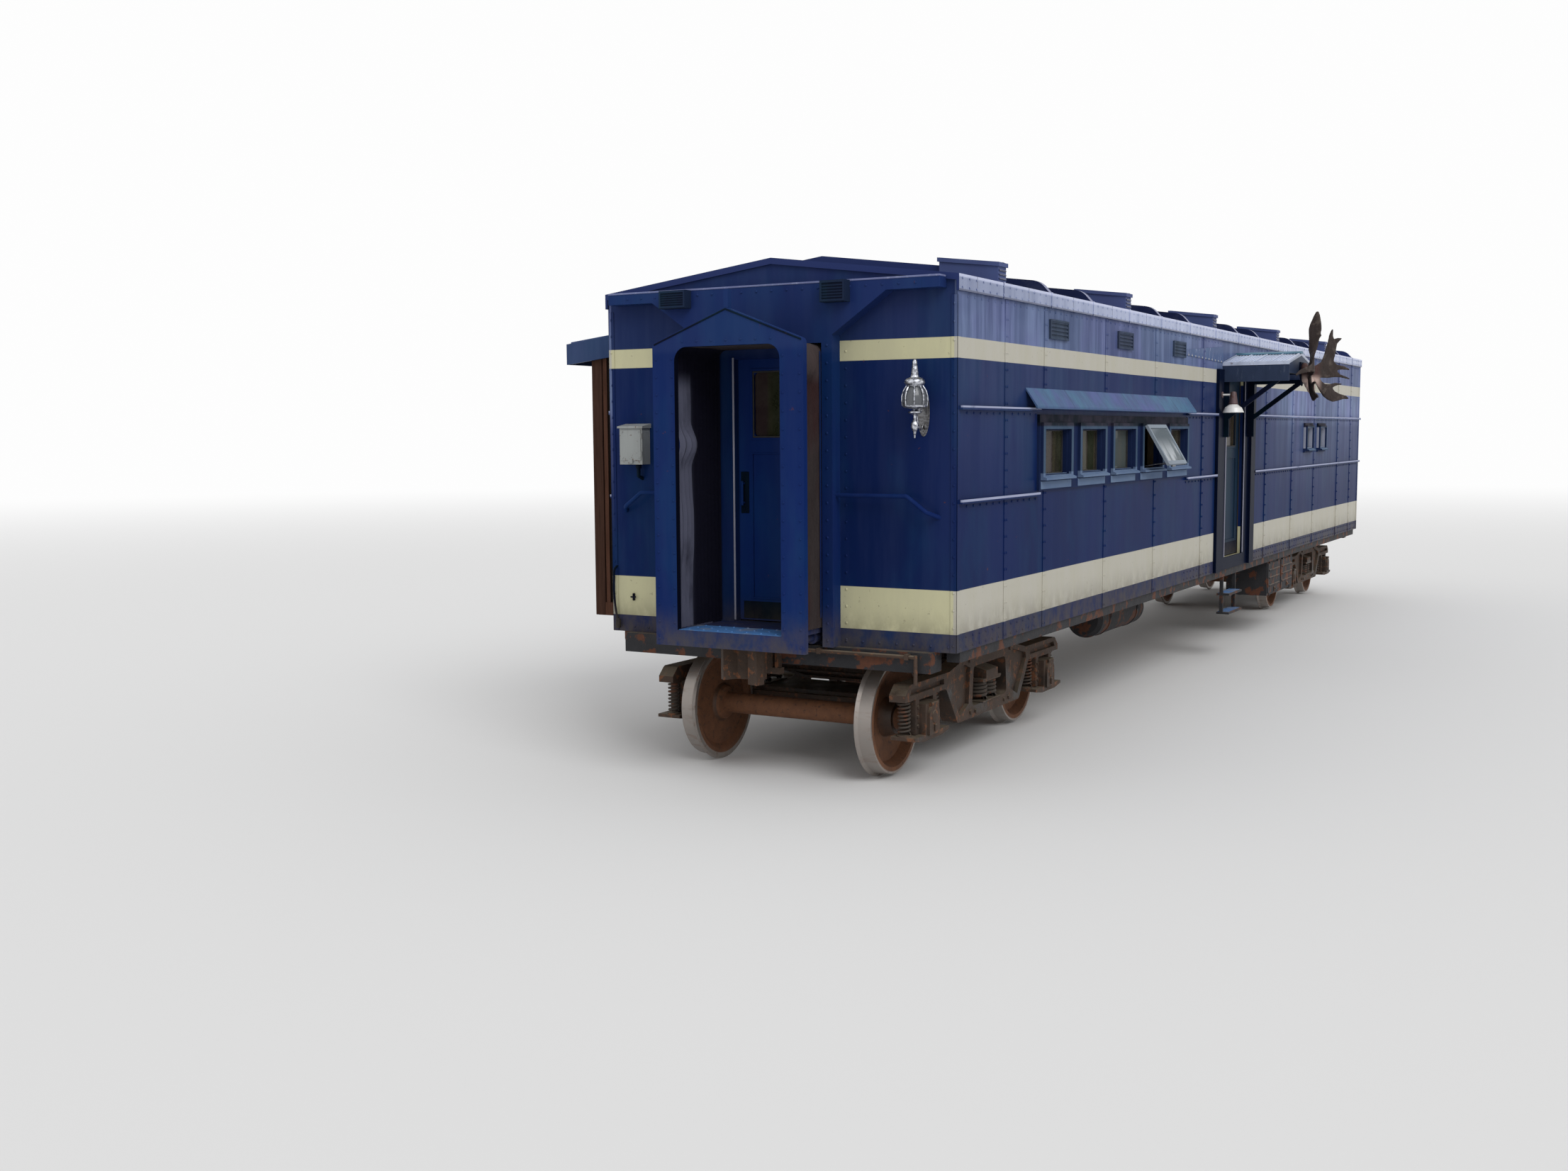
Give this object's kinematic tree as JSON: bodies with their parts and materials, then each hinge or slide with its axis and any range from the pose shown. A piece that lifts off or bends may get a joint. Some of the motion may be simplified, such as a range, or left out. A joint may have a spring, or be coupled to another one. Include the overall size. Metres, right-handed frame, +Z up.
{
  "type": "guest caboose railway car",
  "caption": "Flat-ended steel railway car turned guest cabin, blue with cream stripes, on two swivelling trucks, with gangways, awning and hinged doors.",
  "frame": {"origin": "on top of the rails under the middle of the body", "axes": "+X to the right side of the car, which has the awning; +Y to the rear end; +Z up"},
  "size_m": [4.9234, 16.9, 3.9028],
  "materials": {
    "body_paint": "satin enamel, weathered",
    "roof_paint": "matt roof paint, weathered",
    "end_paint": "satin enamel",
    "floor_boards": "worn varnish",
    "bright_metal": "dull, unpainted",
    "bellows_canvas": "rubberised canvas",
    "window_trim_paint": "satin enamel, lighter blue",
    "glass": "clear, faintly green",
    "door_paint": "satin enamel",
    "underframe_paint": "matt black",
    "cast_steel": "rusty brown cast steel",
    "wheel_steel": "rusted plate, worn tread",
    "spring_steel": "dull",
    "white_enamel": "gloss enamel",
    "antler": "weathered bone and horn",
    "lantern_metal": "dark painted casting",
    "box_grey": "grey enamel",
    "cedar": "weathered cedar"
  },
  "bodies": {
    "car_body": {"underframe": "underframe_paint", "floor": "floor_boards", "right_side_wall": "body_paint", "left_side_wall": "body_paint", "front_end_wall": "end_paint", "rear_end_wall": "end_paint", "roof": "roof_paint", "roof_seam_caps": "roof_paint", "roof_ventilators": "roof_paint", "front_end_posts": "end_paint", "rear_end_posts": "end_paint", "front_gangway_frame": "end_paint", "rear_gangway_frame": "end_paint", "front_bellows": "bellows_canvas", "rear_bellows": "bellows_canvas", "front_coupler": "cast_steel", "rear_coupler": "cast_steel", "window_trim": "window_trim_paint", "window_glass": "glass", "open_sash": "window_trim_paint", "window_hoods": "window_trim_paint", "side_rails": "body_paint", "side_vents": "body_paint", "awning_roof": "bright_metal", "awning_brackets": "body_paint", "awning_lamp": "white_enamel", "antlers": "antler", "wall_lantern": "lantern_metal", "service_box": "box_grey", "grab_rails": "end_paint", "end_lamps": "end_paint", "lean_to_roof": "body_paint", "lean_to_walls": "cedar", "battery_boxes": "underframe_paint", "brake_gear": "underframe_paint", "side_steps": "underframe_paint"},
    "front_end_door": {"front_end_door": "door_paint", "front_end_door_glass": "glass"},
    "rear_end_door": {"rear_end_door": "door_paint", "rear_end_door_glass": "glass"},
    "right_side_door": {"right_side_door": "door_paint", "right_side_door_glass": "glass"},
    "left_side_door": {"left_side_door": "door_paint", "left_side_door_glass": "glass"},
    "front_truck": {"front_truck_frame": "cast_steel", "front_truck_bolster": "cast_steel", "front_truck_springs": "spring_steel"},
    "front_outer_wheelset": {"front_outer_wheelset": "wheel_steel"},
    "front_inner_wheelset": {"front_inner_wheelset": "wheel_steel"},
    "rear_truck": {"rear_truck_frame": "cast_steel", "rear_truck_bolster": "cast_steel", "rear_truck_springs": "spring_steel"},
    "rear_outer_wheelset": {"rear_outer_wheelset": "wheel_steel"},
    "rear_inner_wheelset": {"rear_inner_wheelset": "wheel_steel"}
  },
  "joints": [
    {"name": "front_truck_swivel", "type": "hinge", "parent": "car_body", "child": "front_truck", "pos_m": [0, -6.2, 0.8], "axis": [0, 0, 1], "range_deg": [-6, 6]},
    {"name": "front_outer_wheelset_roll", "type": "hinge", "parent": "front_truck", "child": "front_outer_wheelset", "pos_m": [0, -7.42, 0.419], "axis": [1, 0, 0], "continuous": true},
    {"name": "front_inner_wheelset_roll", "type": "hinge", "parent": "front_truck", "child": "front_inner_wheelset", "pos_m": [0, -4.98, 0.419], "axis": [1, 0, 0], "continuous": true},
    {"name": "rear_truck_swivel", "type": "hinge", "parent": "car_body", "child": "rear_truck", "pos_m": [0, 6.2, 0.8], "axis": [0, 0, 1], "range_deg": [-6, 6]},
    {"name": "rear_outer_wheelset_roll", "type": "hinge", "parent": "rear_truck", "child": "rear_outer_wheelset", "pos_m": [0, 7.42, 0.419], "axis": [1, 0, 0], "continuous": true},
    {"name": "rear_inner_wheelset_roll", "type": "hinge", "parent": "rear_truck", "child": "rear_inner_wheelset", "pos_m": [0, 4.98, 0.419], "axis": [1, 0, 0], "continuous": true},
    {"name": "front_end_door_swing", "type": "hinge", "parent": "car_body", "child": "front_end_door", "pos_m": [0.341, -7.679, 1.12], "axis": [0, 0, -1], "range_deg": [0, 90]},
    {"name": "rear_end_door_swing", "type": "hinge", "parent": "car_body", "child": "rear_end_door", "pos_m": [-0.341, 7.679, 1.12], "axis": [0, 0, -1], "range_deg": [0, 90]},
    {"name": "right_side_door_swing", "type": "hinge", "parent": "car_body", "child": "right_side_door", "pos_m": [1.339, 0.421, 1.12], "axis": [0, 0, -1], "range_deg": [0, 90]},
    {"name": "left_side_door_swing", "type": "hinge", "parent": "car_body", "child": "left_side_door", "pos_m": [-1.339, -0.421, 1.12], "axis": [0, 0, -1], "range_deg": [0, 90]}
  ]
}
